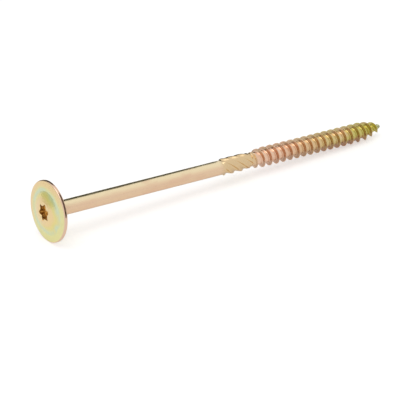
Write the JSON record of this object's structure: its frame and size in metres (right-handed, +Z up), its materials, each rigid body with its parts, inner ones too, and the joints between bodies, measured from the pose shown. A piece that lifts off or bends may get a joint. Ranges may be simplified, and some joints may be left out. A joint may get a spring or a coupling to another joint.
{
  "type": "construction screw",
  "caption": "Partially threaded timber screw with a domed washer head, six-lobe recess, milling ribs, coarse right-hand thread and notched point.",
  "frame": {"origin": "on the floor, below the middle of the screw's length", "axes": "+X along the lying screw from the head to the point, +Z up; the screw's axis dips about 3 degrees toward the point because it rests on the head's rim and on the thread"},
  "size_m": [0.163, 0.0236, 0.0236],
  "materials": {
    "yellow_zinc_steel": "satin yellow zinc passivation with a faint green and pink play of colour"
  },
  "bodies": {
    "root": {"screw": "yellow_zinc_steel"}
  },
  "joints": []
}
